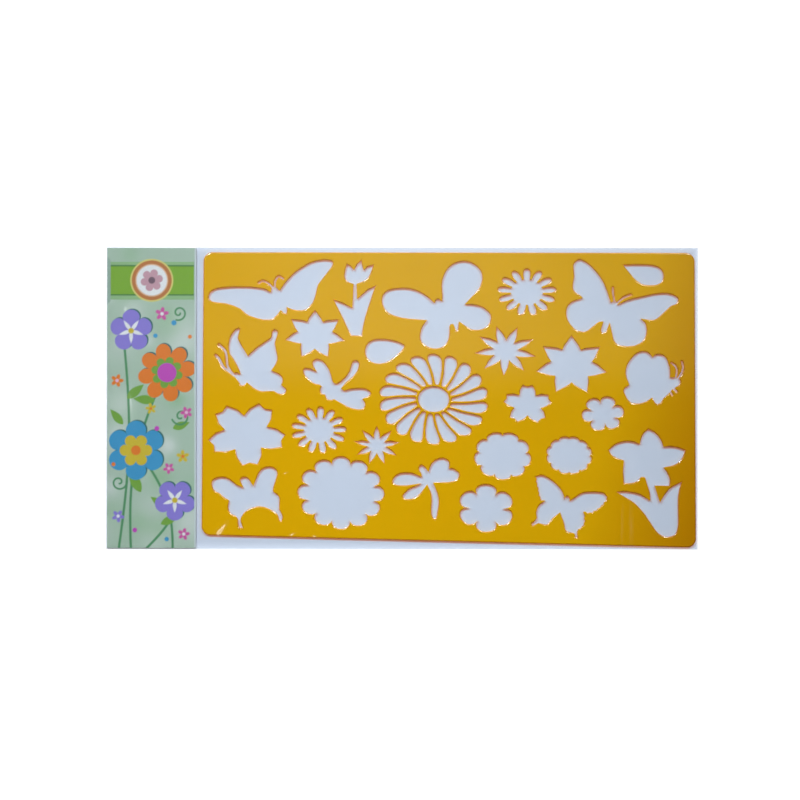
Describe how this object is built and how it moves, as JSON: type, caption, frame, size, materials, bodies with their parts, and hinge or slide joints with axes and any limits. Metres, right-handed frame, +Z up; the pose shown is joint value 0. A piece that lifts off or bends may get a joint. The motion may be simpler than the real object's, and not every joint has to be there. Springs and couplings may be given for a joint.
{
  "type": "drawing stencil",
  "caption": "Flat translucent amber drawing stencil with flower and insect cut-outs in a clear film sleeve, beside a strip of printed card; both slide out of the sleeve's open long side.",
  "frame": {"origin": "centre of the sleeve's footprint, on the surface that the sleeve lies on", "axes": "+X along the sleeve's long side, away from the card; +Y across it, towards the folded long side, so the open mouth faces -Y; +Z up, out of the printed face"},
  "size_m": [0.297, 0.1514, 0.0013],
  "materials": {
    "amber_plastic": "translucent amber moulded plastic, smooth and glossy",
    "printed_card": "thin white card with a satin colour print on its upper face",
    "clear_film": "clear plastic film with a faint blue tint, glossy and slightly creased"
  },
  "bodies": {
    "sleeve": {"sleeve_front": "clear_film", "sleeve_back": "clear_film", "sleeve_fold": "clear_film", "left_weld": "clear_film", "right_weld": "clear_film"},
    "stencil": {"stencil_plate": "amber_plastic"},
    "card": {"title_card": "printed_card"}
  },
  "joints": [
    {"name": "stencil_slide", "type": "slide", "parent": "sleeve", "child": "stencil", "axis": [0, -1, 0], "range_m": [0, 0.15]},
    {"name": "card_slide", "type": "slide", "parent": "sleeve", "child": "card", "axis": [0, -1, 0], "range_m": [0, 0.15]}
  ]
}
